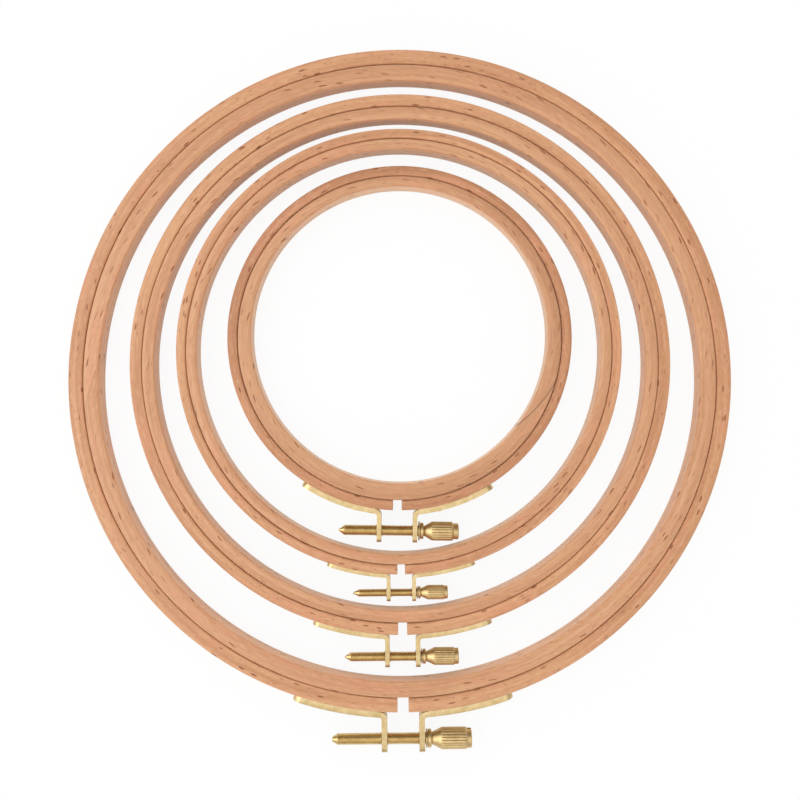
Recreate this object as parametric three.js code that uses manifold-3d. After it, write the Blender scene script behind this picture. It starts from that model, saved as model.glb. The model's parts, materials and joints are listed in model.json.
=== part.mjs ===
// A nested set of four beech embroidery hoops, each with a brass clamp screw.
// Millimetres. The hoops lie flat with +Z up, and their clamp screws are on the -Y side.
// The origin is the middle of the set's outline, on the surface that the hoops lie on.
import * as THREE from "three";
import { mergeVertices } from "three/addons/utils/BufferGeometryUtils.js";
import Module from "manifold-3d";

const wasm = await Module();
wasm.setup();

// Sizes that all the hoops share
const ringHeight = 8;
const edgeRounding = 0.8;
const jointRounding = 0.5;
const ringGap = 0.3;
const stripGap = 0.2;
const rodClearance = 0.25;
const pinClearance = 0.15;
const woodBehindPin = 1.6;
const faceGap = 0.15;

// The large clamp fitting, as it is on the largest hoop
const largeFitting = {
  stripThickness: 2.1,
  stripWidth: 6.4,
  stripReach: 41.9,
  bendRadius: 1,
  earOffset: 7.15,
  earTail: 4.6,
  earCorner: 2,
  screwDrop: 11.1,
  burrRadius: 2.95,
  burrHeight: 0.3,
  rodRadius: 2.15,
  rodTail: 20,
  noseRadius: 1.2,
  noseRounding: 0.7,
  noseLength: 0.75,
  noseShoulder: 1.3,
  washerRadius: 3.5,
  washerThickness: 0.5,
  collarRadius: 3.4,
  collarRounding: 0.35,
  collarLength: 1.4,
  waistRadius: 2.2,
  coneLength: 4,
  knurlRadius: 4,
  knurlLength: 9.55,
  fluteDepth: 0.4,
  capRadius: 3.6,
  capLength: 1.7,
  slotWidth: 1.2,
  slotDepth: 1.6,
  pinReach: 31.2,
  pinHeadRadius: 1.2,
  pinHeadHeight: 0.4,
  pinHeadRounding: 0.2,
  pinRadius: 0.6,
};
const largeFluteCount = 20;

// The point that the rods of the three smaller hoops end in
const pointedNose = {
  noseRadius: 0.4,
  noseRounding: 0.2,
  noseLength: 0.3,
  noseShoulder: 2,
};

// The short fitting of the smallest hoop, with a rounder bend
const shortFitting = {
  ...pointedNose,
  stripThickness: 1.75,
  stripWidth: 6.2,
  stripReach: 37.4,
  bendRadius: 1.2,
  earOffset: 6.8,
  earTail: 4.2,
  earCorner: 1.6,
  screwDrop: 8.1,
  burrRadius: 2.75,
  burrHeight: 0.3,
  rodRadius: 2,
  rodTail: 15.5,
  washerRadius: 3.6,
  washerThickness: 0.5,
  collarRadius: 3.1,
  collarRounding: 0.3,
  collarLength: 1.3,
  waistRadius: 1.8,
  coneLength: 3.2,
  knurlRadius: 3.6,
  knurlLength: 8.2,
  fluteDepth: 0.4,
  capRadius: 3,
  capLength: 1.9,
  slotWidth: 1.1,
  slotDepth: 1.4,
  pinReach: 15.8,
  pinHeadRadius: 1.2,
  pinHeadHeight: 0.4,
  pinHeadRounding: 0.2,
  pinRadius: 0.6,
};
const shortFluteCount = 18;

// The same large fitting is made in smaller sizes for the two middle hoops.
const secondFittingScale = 0.815;
const thirdFittingScale = 0.675;

// The largest hoop, whose outer radius sets the size of the whole set
const largestHoop = {
  outerRadius: 125,
  outerWall: 5.5,
  innerWall: 5.8,
  slitWidth: 4.2,
};

// The smaller hoops. Each lies in the next larger one, with room above its outer ring and
// below the ears of its clamp, and a little to one side.
const secondHoop = {
  roomAbove: 5.2,
  roomBelow: 4.83,
  shift: 0.1,
  outerWall: 4.5,
  innerWall: 4.5,
  slitWidth: 3.4,
};
const thirdHoop = {
  roomAbove: 3.7,
  roomBelow: 2.9,
  shift: -0.4,
  outerWall: 3.65,
  innerWall: 3.85,
  slitWidth: 2.85,
};
// Its inner ring is thicker near the screw, because its opening lies to one side
const smallestHoop = {
  roomAbove: 6.2,
  roomBelow: 4.1,
  shift: 0.25,
  outerWall: 3.75,
  innerWall: 5,
  openingShift: 1.2,
  slitWidth: 3.3,
};

// How each hoop is turned about its own axis, as it was laid down
const largestTurnDegrees = 0.6;
const secondTurnDegrees = 0.58;
const thirdTurnDegrees = 0.6;
const smallestTurnDegrees = -0.75;

// How finely curves are divided
const largestFacets = 64;
const secondFacets = 60;
const thirdFacets = 56;
const smallestFacets = 48;
const edgeSteps = 1;
const stripSteps = 6;
const bendSteps = 3;
const cornerSteps = 3;
const rodFacets = 12;
const holeFacets = 12;
const pinFacets = 8;

const beech = new THREE.MeshStandardMaterial({ color: 0xdca37c, roughness: 0.6, metalness: 0 });
const brass = new THREE.MeshStandardMaterial({ color: 0xd2ae66, roughness: 0.32, metalness: 1 });

const QUARTER = Math.PI / 2;
const middleHeight = ringHeight / 2;
const cutMargin = 1;
const ridgeShare = 0.4;

const secondFitting = { ...resized(largeFitting, secondFittingScale), ...pointedNose };
const thirdFitting = { ...resized(largeFitting, thirdFittingScale), ...pointedNose };

const hoop1 = {
  ...largestHoop,
  name: "hoop_1",
  centreX: 0,
  centreY: 0,
  turnDegrees: largestTurnDegrees,
  fitting: largeFitting,
  fluteCount: largeFluteCount,
  facets: largestFacets,
};
const hoop2 = {
  ...nested(secondHoop, secondFitting, hoop1),
  name: "hoop_2",
  turnDegrees: secondTurnDegrees,
  fluteCount: largeFluteCount,
  facets: secondFacets,
};
const hoop3 = {
  ...nested(thirdHoop, thirdFitting, hoop2),
  name: "hoop_3",
  turnDegrees: thirdTurnDegrees,
  fluteCount: largeFluteCount,
  facets: thirdFacets,
};
const hoop4 = {
  ...nested(smallestHoop, shortFitting, hoop3),
  name: "hoop_4",
  turnDegrees: smallestTurnDegrees,
  fluteCount: shortFluteCount,
  facets: smallestFacets,
};

function resized(fitting, size) {
  const lengths = Object.entries(fitting).map(([name, length]) => [name, length * size]);
  return Object.fromEntries(lengths);
}

// The radius of the opening inside a hoop
function openingRadius({ outerRadius, outerWall, innerWall }) {
  return outerRadius - outerWall - ringGap - innerWall;
}

// Sizes and places a hoop, so that its outer ring and its clamp lie in the larger hoop
function nested(hoop, fitting, larger) {
  const opening = openingRadius(larger);
  const clampReach = fitting.screwDrop + fitting.earTail;
  const outerRadius = opening - (hoop.roomAbove + hoop.roomBelow + clampReach) / 2;
  const centreX = larger.centreX + hoop.shift;
  const centreY = larger.centreY + opening - hoop.roomAbove - outerRadius;
  return { ...hoop, fitting, outerRadius, centreX, centreY };
}

function solidFrom(geometry) {
  const bare = geometry.clone();
  bare.deleteAttribute("normal");
  bare.deleteAttribute("uv");
  const merged = mergeVertices(bare, 1e-5);
  const mesh = new wasm.Mesh({
    numProp: 3,
    vertProperties: merged.getAttribute("position").array,
    triVerts: new Uint32Array(merged.getIndex().array),
  });
  return new wasm.Manifold(mesh);
}

function geometryFrom(solid) {
  const mesh = solid.getMesh();
  const geometry = new THREE.BufferGeometry();
  geometry.setAttribute("position", new THREE.BufferAttribute(mesh.vertProperties, 3));
  geometry.setIndex(new THREE.BufferAttribute(mesh.triVerts, 1));
  geometry.computeVertexNormals();
  return geometry;
}

// Points along an arc round (x, y)
function arc(x, y, radius, startAngle, endAngle, steps) {
  const points = [];
  for (let step = 0; step <= steps; step += 1) {
    const angle = startAngle + ((endAngle - startAngle) * step) / steps;
    points.push(new THREE.Vector2(x + radius * Math.cos(angle), y + radius * Math.sin(angle)));
  }
  return points;
}

// A profile of (radius, height) points, revolved round Z
function revolved(profile, facets) {
  return new THREE.LatheGeometry(profile, facets).rotateX(QUARTER);
}

// A profile of (radius, distance) points, revolved round X
function turnedAlongX(profile, facets) {
  const points = profile.map(([radius, distance]) => new THREE.Vector2(radius, distance));
  return revolved(points, facets).rotateY(QUARTER);
}

function cylinderAlong(direction, radius, length, facets) {
  const cylinder = new THREE.CylinderGeometry(radius, radius, length, facets);
  const up = new THREE.Vector3(0, 1, 0);
  return cylinder.applyQuaternion(new THREE.Quaternion().setFromUnitVectors(up, direction));
}

function box(width, depth, height, x, y, z) {
  return new THREE.BoxGeometry(width, depth, height).translate(x, y, z);
}

// A point at a radius and an angle from the slit's middle line, positive towards +X
function onHoop(radius, angle) {
  return new THREE.Vector2(radius * Math.sin(angle), -radius * Math.cos(angle));
}

function outwards(angle) {
  const point = onHoop(1, angle);
  return new THREE.Vector3(point.x, point.y, 0);
}

// The wooden rings

// A ring whose edges are rounded by one radius along its inner face and another along its outer
function ringGeometry(innerRadius, innerRounding, outerRadius, outerRounding, facets) {
  const left = innerRadius + innerRounding;
  const right = outerRadius - outerRounding;
  const innerTop = ringHeight - innerRounding;
  const outerTop = ringHeight - outerRounding;
  const section = [
    ...arc(right, outerRounding, outerRounding, -QUARTER, 0, edgeSteps),
    ...arc(right, outerTop, outerRounding, 0, QUARTER, edgeSteps),
    ...arc(left, innerTop, innerRounding, QUARTER, 2 * QUARTER, edgeSteps),
    ...arc(left, innerRounding, innerRounding, 2 * QUARTER, 3 * QUARTER, edgeSteps),
  ];
  section.push(section[0]);
  return revolved(section, facets);
}

function outerRingGeometry(hoop) {
  const { outerRadius, outerWall, slitWidth, facets } = hoop;
  const innerRadius = outerRadius - outerWall;
  const slitDepth = outerWall + 2 * cutMargin + edgeRounding;
  const slitMiddle = -(outerRadius + cutMargin - slitDepth / 2);
  const slit = box(slitWidth, slitDepth, ringHeight + 2 * cutMargin, 0, slitMiddle, middleHeight);
  const whole = ringGeometry(innerRadius, jointRounding, outerRadius, edgeRounding, facets);
  let ring = solidFrom(whole).subtract(solidFrom(slit));
  for (const side of [-1, 1]) {
    ring = ring.subtract(solidFrom(pinHole(hoop, side, pinTip(hoop) - pinClearance)));
  }
  return geometryFrom(ring);
}

function innerRingGeometry(hoop) {
  const { outerRadius, outerWall, facets, openingShift = 0 } = hoop;
  const inner = openingRadius(hoop);
  const outer = outerRadius - outerWall - ringGap;
  const ring = ringGeometry(inner, edgeRounding, outer, jointRounding, facets);
  shiftOpening(ring, (inner + outer) / 2, openingShift);
  return ring;
}

// Moves a ring's inner face along Y, so that its opening lies off the ring's centre
function shiftOpening(ring, middleRadius, shift) {
  const position = ring.getAttribute("position");
  for (let index = 0; index < position.count; index += 1) {
    const x = position.getX(index);
    const y = position.getY(index);
    if (Math.hypot(x, y) < middleRadius) position.setY(index, y + shift);
  }
}

// The brass brackets: a strip bent along the outer ring, and an ear bent out for the screw

function bracketOutline({ outerRadius, fitting }) {
  const { stripThickness, stripReach, bendRadius, earOffset, screwDrop, earTail } = fitting;
  const woodSide = outerRadius + stripGap;
  const farSide = woodSide + stripThickness;
  const tipAngle = stripReach / outerRadius;
  const nearFace = earOffset - stripThickness / 2;
  const farFace = earOffset + stripThickness / 2;
  const earEnd = -(outerRadius + screwDrop + earTail);
  const bendX = farFace + bendRadius;
  const bendY = -Math.sqrt((farSide + bendRadius) ** 2 - bendX ** 2);
  const bendAngle = Math.atan2(bendX, -bendY) - QUARTER;
  const tipDirection = tipAngle - QUARTER;
  const towardsHoop = bendAngle + 2 * QUARTER;
  const outerBend = bendRadius + stripThickness;
  return [
    ...arc(0, 0, woodSide, tipDirection, bendAngle, stripSteps),
    ...arc(bendX, bendY, outerBend, towardsHoop, 2 * QUARTER, bendSteps).slice(1),
    new THREE.Vector2(nearFace, earEnd),
    new THREE.Vector2(farFace, earEnd),
    ...arc(bendX, bendY, bendRadius, 2 * QUARTER, towardsHoop, bendSteps),
    ...arc(0, 0, farSide, bendAngle, tipDirection, stripSteps).slice(1),
  ];
}

// The waste outside one rounded corner of a strip's end. The strip ends at x = 0, its edge
// is at y = edge, and the waste is as deep along Z as the strip needs.
function cornerWaste(edge, radius, depth) {
  const shape = new THREE.Shape([
    new THREE.Vector2(-radius, edge + cutMargin),
    ...arc(-radius, edge - radius, radius, QUARTER, 0, cornerSteps),
    new THREE.Vector2(cutMargin, edge - radius),
    new THREE.Vector2(cutMargin, edge + cutMargin),
  ]);
  const options = { depth, bevelEnabled: false };
  return new THREE.ExtrudeGeometry(shape, options).translate(0, 0, -depth / 2);
}

// Rounds both corners of a strip that ends at a point, running along a direction
function withRoundedEnd(solid, end, along, width, radius, depth) {
  let rounded = solid;
  for (const edgeSide of [1, -1]) {
    const up = new THREE.Vector3(0, 0, edgeSide);
    const across = new THREE.Vector3().crossVectors(along, up);
    const placed = new THREE.Matrix4().makeBasis(along, up, across).setPosition(end);
    const waste = cornerWaste(width / 2, radius, depth).applyMatrix4(placed);
    rounded = rounded.subtract(solidFrom(waste));
  }
  return rounded;
}

function bracketGeometry(hoop, side) {
  const { outerRadius, fitting } = hoop;
  const { stripThickness, stripWidth, stripReach, earOffset, screwDrop, earTail } = fitting;
  const outline = bracketOutline(hoop).map((point) => new THREE.Vector2(side * point.x, point.y));
  const options = { depth: stripWidth, bevelEnabled: false };
  const strip = new THREE.ExtrudeGeometry(new THREE.Shape(outline), options);
  strip.translate(0, 0, middleHeight - stripWidth / 2);
  let bracket = solidFrom(strip);

  const cutDepth = stripThickness + 2 * cutMargin;
  const tipAngle = (side * stripReach) / outerRadius;
  const tip = onHoop(outerRadius + stripGap + stripThickness / 2, tipAngle);
  const tipPoint = new THREE.Vector3(tip.x, tip.y, middleHeight);
  const alongStrip = new THREE.Vector3(Math.cos(tipAngle), Math.sin(tipAngle), 0);
  alongStrip.multiplyScalar(side);
  bracket = withRoundedEnd(bracket, tipPoint, alongStrip, stripWidth, stripWidth / 2, cutDepth);

  const screwY = -(outerRadius + screwDrop);
  const earPoint = new THREE.Vector3(side * earOffset, screwY - earTail, middleHeight);
  const alongEar = new THREE.Vector3(0, -1, 0);
  bracket = withRoundedEnd(bracket, earPoint, alongEar, stripWidth, fitting.earCorner, cutDepth);

  const alongX = new THREE.Vector3(1, 0, 0);
  const burrLength = stripThickness + 2 * fitting.burrHeight;
  const burr = cylinderAlong(alongX, fitting.burrRadius, burrLength, holeFacets);
  burr.translate(side * earOffset, screwY, middleHeight);
  bracket = bracket.add(solidFrom(burr));

  const holeRadius = fitting.rodRadius + rodClearance;
  const hole = cylinderAlong(alongX, holeRadius, burrLength + 2 * cutMargin, holeFacets);
  hole.translate(side * earOffset, screwY, middleHeight);
  bracket = bracket.subtract(solidFrom(hole));
  bracket = bracket.subtract(solidFrom(pinHole(hoop, side, outerRadius)));
  return geometryFrom(bracket);
}

// The pins that hold the strips to the wood

// How far from the hoop's centre a pin's point lies
function pinTip({ outerRadius, outerWall }) {
  return outerRadius - outerWall + woodBehindPin;
}

// The hole round a pin, from outside the strip in to a radius
function pinHole({ outerRadius, fitting }, side, bottom) {
  const { stripThickness, pinReach, pinRadius } = fitting;
  const angle = (side * pinReach) / outerRadius;
  const top = outerRadius + stripGap + stripThickness + cutMargin;
  const hole = cylinderAlong(outwards(angle), pinRadius + pinClearance, top - bottom, pinFacets);
  const middle = onHoop((top + bottom) / 2, angle);
  return hole.translate(middle.x, middle.y, middleHeight);
}

function pinGeometry(hoop, side) {
  const { outerRadius, fitting } = hoop;
  const { stripThickness, pinReach, pinRadius } = fitting;
  const { pinHeadRadius, pinHeadHeight, pinHeadRounding } = fitting;
  const angle = (side * pinReach) / outerRadius;
  const tip = pinTip(hoop);
  const seat = outerRadius + stripGap + stripThickness + pinClearance;
  const profile = [
    [0, tip],
    [pinRadius, tip + pinRadius],
    [pinRadius, seat],
    [pinHeadRadius, seat],
    [pinHeadRadius - pinHeadRounding, seat + pinHeadHeight - pinHeadRounding],
    [0, seat + pinHeadHeight],
  ];
  const pin = turnedAlongX(profile, pinFacets);
  pin.rotateZ(angle - QUARTER);
  return pin.translate(0, 0, middleHeight);
}

// The thumb screw and its washer, both turned round the screw's axis

// Where things lie along the screw, measured from the slit's middle line
function screwStations(fitting) {
  const earFace = fitting.earOffset + fitting.stripThickness / 2 + fitting.burrHeight;
  const washer = earFace + faceGap;
  const collar = washer + fitting.washerThickness + faceGap;
  const cone = collar + fitting.collarLength;
  const knurl = cone + fitting.coneLength;
  const cap = knurl + fitting.knurlLength;
  const end = cap + fitting.capLength;
  const tip = -(fitting.earOffset + fitting.rodTail);
  return { washer, collar, cone, knurl, cap, end, tip };
}

function screwAxisPlace({ outerRadius, fitting }) {
  return new THREE.Vector3(0, -(outerRadius + fitting.screwDrop), middleHeight);
}

// A bar along X with straight flutes cut into it
function flutedBar(radius, depth, count, start, end) {
  const points = [];
  for (let flute = 0; flute < count; flute += 1) {
    const ridge = (2 * Math.PI * flute) / count;
    const pitch = (2 * Math.PI) / count;
    points.push([radius, ridge - (pitch * ridgeShare) / 2]);
    points.push([radius, ridge + (pitch * ridgeShare) / 2]);
    points.push([radius - depth, ridge + pitch / 2]);
  }
  const corners = points.map(([r, angle]) => {
    return new THREE.Vector2(r * Math.cos(angle), r * Math.sin(angle));
  });
  const options = { depth: end - start, bevelEnabled: false };
  const bar = new THREE.ExtrudeGeometry(new THREE.Shape(corners), options);
  return bar.rotateY(QUARTER).translate(start, 0, 0);
}

function screwGeometry(hoop) {
  const { fitting, fluteCount } = hoop;
  const at = screwStations(fitting);
  const { noseRadius, noseRounding, noseLength, noseShoulder, rodRadius } = fitting;
  const { collarRadius, collarRounding, waistRadius } = fitting;
  const { knurlRadius, fluteDepth, capRadius } = fitting;

  const shankProfile = [
    [0, at.tip],
    [noseRadius - noseRounding, at.tip],
    [noseRadius, at.tip + noseRounding],
    [noseRadius, at.tip + noseLength],
    [rodRadius, at.tip + noseLength + noseShoulder],
    [rodRadius, at.collar],
    [collarRadius - collarRounding, at.collar],
    [collarRadius, at.collar + collarRounding],
    [collarRadius, at.cone - collarRounding],
    [collarRadius - collarRounding, at.cone],
    [waistRadius, at.cone],
    [waistRadius, at.cone + collarRounding],
    [0, at.cone + collarRounding],
  ];
  const headProfile = [
    [0, at.cone],
    [waistRadius, at.cone],
    [knurlRadius, at.knurl],
    [knurlRadius, at.cap - fluteDepth],
    [capRadius, at.cap],
    [capRadius, at.end - collarRounding],
    [capRadius - collarRounding, at.end],
    [0, at.end],
  ];
  const shank = solidFrom(turnedAlongX(shankProfile, rodFacets));
  const head = solidFrom(turnedAlongX(headProfile, fluteCount));
  const barStart = at.cone - cutMargin;
  const barEnd = at.end + cutMargin;
  const bar = solidFrom(flutedBar(knurlRadius, fluteDepth, fluteCount, barStart, barEnd));

  const { slotWidth, slotDepth } = fitting;
  const cutLength = slotDepth + cutMargin;
  const cutMiddle = at.end - slotDepth + cutLength / 2;
  const slot = box(cutLength, 2 * (knurlRadius + cutMargin), slotWidth, cutMiddle, 0, 0);
  const screw = shank.add(head.intersect(bar)).subtract(solidFrom(slot));
  const place = screwAxisPlace(hoop);
  return geometryFrom(screw).translate(place.x, place.y, place.z);
}

function washerGeometry(hoop) {
  const { rodRadius, washerRadius, washerThickness } = hoop.fitting;
  const at = screwStations(hoop.fitting);
  const bore = rodRadius + rodClearance;
  const profile = [
    [bore, at.washer],
    [washerRadius, at.washer],
    [washerRadius, at.washer + washerThickness],
    [bore, at.washer + washerThickness],
    [bore, at.washer],
  ];
  const place = screwAxisPlace(hoop);
  return turnedAlongX(profile, holeFacets).translate(place.x, place.y, place.z);
}

// The whole set

function piece(name, geometry, material) {
  const mesh = new THREE.Mesh(geometry, material);
  mesh.name = name;
  return mesh;
}

function hoopGroup(hoop) {
  const group = new THREE.Group();
  const { name } = hoop;
  group.add(piece(`${name}_outer_ring`, outerRingGeometry(hoop), beech));
  group.add(piece(`${name}_inner_ring`, innerRingGeometry(hoop), beech));
  group.add(piece(`${name}_threaded_bracket`, bracketGeometry(hoop, -1), brass));
  group.add(piece(`${name}_plain_bracket`, bracketGeometry(hoop, 1), brass));
  group.add(piece(`${name}_threaded_side_pin`, pinGeometry(hoop, -1), brass));
  group.add(piece(`${name}_plain_side_pin`, pinGeometry(hoop, 1), brass));
  group.add(piece(`${name}_thumb_screw`, screwGeometry(hoop), brass));
  group.add(piece(`${name}_washer`, washerGeometry(hoop), brass));
  group.position.set(hoop.centreX, hoop.centreY, 0);
  group.rotation.z = THREE.MathUtils.degToRad(hoop.turnDegrees);
  return group;
}

const hoopSet = new THREE.Group();
for (const hoop of [hoop1, hoop2, hoop3, hoop4]) hoopSet.add(hoopGroup(hoop));

hoopSet.updateMatrixWorld(true);
const outline = new THREE.Box3().setFromObject(hoopSet, true);
const footprintMiddle = outline.getCenter(new THREE.Vector3());
hoopSet.position.set(-footprintMiddle.x, -footprintMiddle.y, -outline.min.z);

export default hoopSet;
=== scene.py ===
# %% [markdown]
# Four embroidery hoops lie one inside the other on a white table, seen from straight above.
# Each hoop is two rings of steam-bent beech. The outer ring is slit, and a brass thumb screw
# draws its ends together. This lesson dresses the plain model of the set in fine meshes and
# procedural materials. Every mesh starts from a few vertices or a simple bmesh shape, and is
# then spun, extruded, cut, bevelled or bent, in the way that the real piece is made.

# %% Load the plain model
import json
import math

import bmesh
import bpy
from mathutils import Matrix, Vector


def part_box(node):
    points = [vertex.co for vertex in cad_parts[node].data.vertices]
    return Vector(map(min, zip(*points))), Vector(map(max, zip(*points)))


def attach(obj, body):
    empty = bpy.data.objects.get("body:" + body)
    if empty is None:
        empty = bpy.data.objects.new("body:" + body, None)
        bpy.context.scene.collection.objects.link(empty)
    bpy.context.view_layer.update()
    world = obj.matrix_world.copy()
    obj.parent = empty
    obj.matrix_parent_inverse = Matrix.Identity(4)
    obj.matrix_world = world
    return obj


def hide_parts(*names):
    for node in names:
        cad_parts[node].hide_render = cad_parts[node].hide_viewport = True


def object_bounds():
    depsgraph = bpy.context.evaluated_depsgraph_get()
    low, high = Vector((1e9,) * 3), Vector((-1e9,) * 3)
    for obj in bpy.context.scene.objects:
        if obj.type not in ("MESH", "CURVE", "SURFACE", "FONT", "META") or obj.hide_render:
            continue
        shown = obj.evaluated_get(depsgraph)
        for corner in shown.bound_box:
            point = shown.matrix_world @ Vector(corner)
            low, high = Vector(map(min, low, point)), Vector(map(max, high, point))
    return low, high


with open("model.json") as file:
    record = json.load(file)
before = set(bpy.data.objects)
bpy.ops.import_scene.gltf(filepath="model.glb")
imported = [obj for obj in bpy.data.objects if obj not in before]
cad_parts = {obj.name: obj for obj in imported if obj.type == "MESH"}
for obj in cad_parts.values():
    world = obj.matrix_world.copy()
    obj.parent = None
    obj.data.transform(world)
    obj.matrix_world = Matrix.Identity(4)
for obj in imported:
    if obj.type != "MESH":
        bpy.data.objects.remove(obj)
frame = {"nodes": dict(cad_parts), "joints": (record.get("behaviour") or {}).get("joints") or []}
cad_low, cad_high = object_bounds()
MM = 0.001
FULL_TURN = 2 * math.pi
QUARTER_TURN = math.pi / 2
plain_size = [round(length / MM, 1) for length in cad_high - cad_low]
print("plain nodes:", len(frame["nodes"]), "size in mm:", plain_size)

# %% [markdown]
# The photograph was taken from straight above, a little over 30 cm up, so the walls of the rings
# show a little, more so towards the edge of the picture. A camera with no rotation looks down its
# own -Z axis, with +Y up in the picture, which is just what is needed. The camera's height decides
# how much of the walls shows, and the lens then sets the size of the set in the picture.

# %% Camera over the set
CAMERA_PLACE = Vector((0.13, 0.78, 320)) * MM
SENSOR_WIDTH = 36
LENS = 37.3
NEAREST_SEEN = 0.01

camera_data = bpy.data.cameras.new("camera_above")
camera_data.sensor_width = SENSOR_WIDTH
camera_data.lens = LENS
camera_data.clip_start = NEAREST_SEEN
camera = bpy.data.objects.new("camera_above", camera_data)
camera.location = CAMERA_PLACE
bpy.context.scene.collection.objects.link(camera)
bpy.context.scene.camera = camera
print("camera looks down from", round(CAMERA_PLACE.z / MM), "mm")

# %% [markdown]
# Materials are built from nodes. Writing every node out with its links takes many lines, so a
# small helper adds a node, sets its values, and links whatever is itself a node's output.

# %% Helper for node trees
class Nodes:
    """Adds nodes to one node tree."""

    def __init__(self, tree):
        self.tree = tree
        tree.nodes.clear()

    def add(self, kind, inputs=(), **settings):
        """Adds a node. An input is a value, or the output of another node."""
        node = self.tree.nodes.new(kind)
        for name, value in settings.items():
            setattr(node, name, value)
        for name, value in dict(inputs).items():
            if isinstance(value, bpy.types.NodeSocket):
                self.tree.links.new(value, node.inputs[name])
            else:
                node.inputs[name].default_value = value
        return node

    def math(self, operation, first, second=0.0):
        inputs = {0: first, 1: second}
        return self.add("ShaderNodeMath", inputs, operation=operation).outputs[0]

    def stretched(self, vector, lengths):
        """Divides a vector in millimetres by the lengths of a pattern along its axes."""
        inputs = {0: vector, 1: [1 / length for length in lengths]}
        return self.add("ShaderNodeVectorMath", inputs, operation="MULTIPLY").outputs[0]

    def millimetres(self, vector):
        """Turns a place in metres into millimetres."""
        inputs = {0: vector, "Scale": 1 / MM}
        return self.add("ShaderNodeVectorMath", inputs, operation="SCALE").outputs[0]

    def noise(self, vector, lengths, detail=2.0, roughness=0.5):
        """A soft random pattern of some lengths along the axes."""
        inputs = {"Vector": self.stretched(vector, lengths), "Scale": 1.0}
        inputs |= {"Detail": detail, "Roughness": roughness}
        return self.add("ShaderNodeTexNoise", inputs).outputs["Fac"]

    def between(self, value, low, high, to_low=0.0, to_high=1.0):
        """Maps a value smoothly from one range to another."""
        inputs = {"Value": value, "From Min": low, "From Max": high}
        inputs |= {"To Min": to_low, "To Max": to_high}
        node = self.add("ShaderNodeMapRange", inputs, interpolation_type="SMOOTHSTEP")
        return node.outputs[0]

    def blend(self, amount, first, second):
        """Mixes two colours."""
        inputs = {0: amount, 6: first, 7: second}
        return self.add("ShaderNodeMix", inputs, data_type="RGBA").outputs[2]

    def layer(self, base, pattern, low, high, strength, tone):
        """Lays a tone over a base colour where a pattern sets in, up to some strength."""
        return self.blend(self.between(pattern, low, high, 0.0, strength), base, tone)

    def tilted(self, strength, depth, height):
        """A surface direction, tilted by the slopes of a pattern of heights."""
        inputs = {"Strength": strength, "Distance": depth, "Height": height}
        return self.add("ShaderNodeBump", inputs).outputs[0]

    def show(self, shader):
        """Makes a shader the material's surface."""
        self.add("ShaderNodeOutputMaterial", {"Surface": shader.outputs[0]})


def colour(red, green, blue):
    """A colour as a picture editor shows it, from 0 to 255, made linear for a shader."""
    def linear(level):
        share = level / 255
        return share / 12.92 if share <= 0.04045 else ((share + 0.055) / 1.055) ** 2.4
    return (linear(red), linear(green), linear(blue), 1)


def new_material(name):
    material = bpy.data.materials.new(name)
    material.use_nodes = True
    return material, Nodes(material.node_tree)


print("node helper ready")

# %% [markdown]
# The table is plain white, and in the photograph it is so bright that it has hardly any shadows.
# More light would wash out the wood. Instead, what the camera sees of the floor is mostly a plain
# white glow, and the rest is a lit white surface, which keeps a faint shadow. The shiny metal sees
# less of the glow and more of the lit floor, so that it is darker where it faces the shade
# between the rings.

# %% White floor
FLOOR_HALF_WIDTH = 3.0
FLOOR_DROP = 0.1 * MM
GLOW_FOR_CAMERA = 0.9
GLOW_FOR_METAL = 0.4
GLOW_STRENGTH = 1.01
WHITE = (1, 1, 1, 1)
FLOOR_WHITE = (0.96, 0.96, 0.96, 1)


def ray_kinds(nodes):
    """Two values: 1 for rays from the camera, and 1 for rays from a shiny surface."""
    path = nodes.add("ShaderNodeLightPath")
    mirrored, passed = path.outputs["Is Glossy Ray"], path.outputs["Is Transmission Ray"]
    return path.outputs["Is Camera Ray"], nodes.math("MAXIMUM", mirrored, passed)


def floor_material():
    material, nodes = new_material("white_table")
    lit = nodes.add("ShaderNodeBsdfDiffuse", {"Color": FLOOR_WHITE})
    glow = nodes.add("ShaderNodeEmission", {"Color": WHITE, "Strength": GLOW_STRENGTH})
    from_camera, from_metal = ray_kinds(nodes)
    for_camera = nodes.math("MULTIPLY", from_camera, GLOW_FOR_CAMERA)
    for_metal = nodes.math("MULTIPLY", from_metal, GLOW_FOR_METAL)
    share = nodes.math("MAXIMUM", for_camera, for_metal)
    mixed = nodes.add("ShaderNodeMixShader", {0: share, 1: lit.outputs[0], 2: glow.outputs[0]})
    nodes.show(mixed)
    return material


floor_mesh = bmesh.new()
bmesh.ops.create_grid(floor_mesh, x_segments=1, y_segments=1, size=FLOOR_HALF_WIDTH)
bmesh.ops.translate(floor_mesh, vec=(0, 0, -FLOOR_DROP), verts=floor_mesh.verts)
floor_data = bpy.data.meshes.new("table_top")
floor_mesh.to_mesh(floor_data)
floor_mesh.free()
floor_data.materials.append(floor_material())
table_top = bpy.data.objects.new("table_top", floor_data)
bpy.context.scene.collection.objects.link(table_top)
print("floor faces:", len(floor_data.polygons))

# %% [markdown]
# Soft light comes from everywhere. It is stronger from low down, and strongest from the top and the
# bottom of the picture, where it lights the rings' walls. One large lamp makes the left side a
# little brighter. The metal mirrors the room, so the world looks different to it: a long bright
# panel overhead, from left to right, dimmer towards the bottom and the right of the picture, and
# dark beyond its top. That puts one bright line along each rod, with a dark upper edge.

# %% World and lamp
SKY_LIGHT = 0.5
LOW_SKY_LIGHT = 0.95
SIDE_GAIN = 2.1
BRIGHT_LEVEL = 1.12
FAR_LEVEL = 0.25
NEAR_LEVEL = 0.6
RIGHT_SHADE = 0.55
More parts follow.
